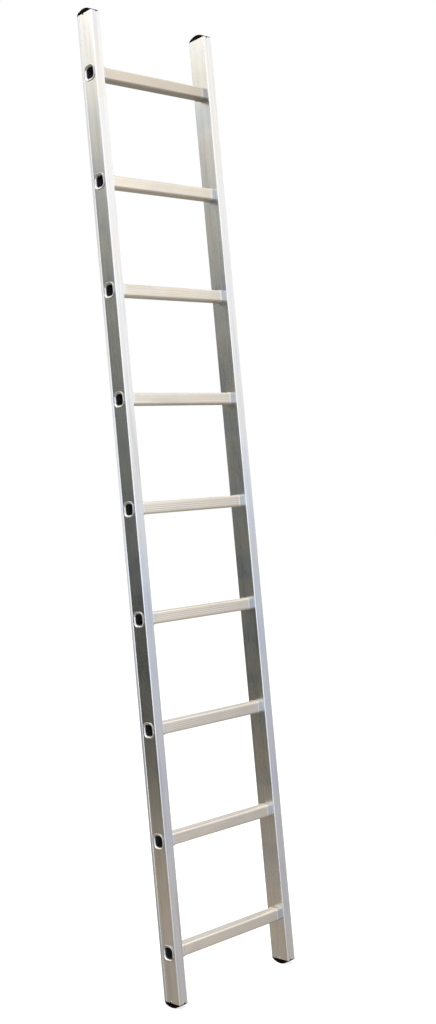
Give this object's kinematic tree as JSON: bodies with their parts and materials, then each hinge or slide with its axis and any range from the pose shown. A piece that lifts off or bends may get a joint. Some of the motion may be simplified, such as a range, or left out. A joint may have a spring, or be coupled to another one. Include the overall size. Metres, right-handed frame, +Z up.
{
  "type": "leaning ladder",
  "caption": "Aluminium single-section leaning ladder with box stiles, ribbed square rungs flared through them, and black arched end caps.",
  "frame": {"origin": "on the ground under the middle of the ladder: the centre of the footprint of the two feet, with the ladder upright", "axes": "+Z up along the stiles, +X across to the right as the climber sees it, -Y towards the climber (the stiles' front faces)"},
  "size_m": [0.4244, 0.061, 2.544],
  "materials": {
    "stile_aluminium": "mill-finish extrusion with fine lengthwise die lines",
    "rung_aluminium": "mill-finish ribbed extrusion, smooth where it is swaged",
    "cap_plastic": "black moulded plastic, finely textured"
  },
  "bodies": {
    "root": {"stile_left": "stile_aluminium", "stile_right": "stile_aluminium", "rung_1": "rung_aluminium", "rung_2": "rung_aluminium", "rung_3": "rung_aluminium", "rung_4": "rung_aluminium", "rung_5": "rung_aluminium", "rung_6": "rung_aluminium", "rung_7": "rung_aluminium", "rung_8": "rung_aluminium", "rung_9": "rung_aluminium", "foot_left": "cap_plastic", "foot_right": "cap_plastic", "top_cap_left": "cap_plastic", "top_cap_right": "cap_plastic"}
  },
  "joints": []
}
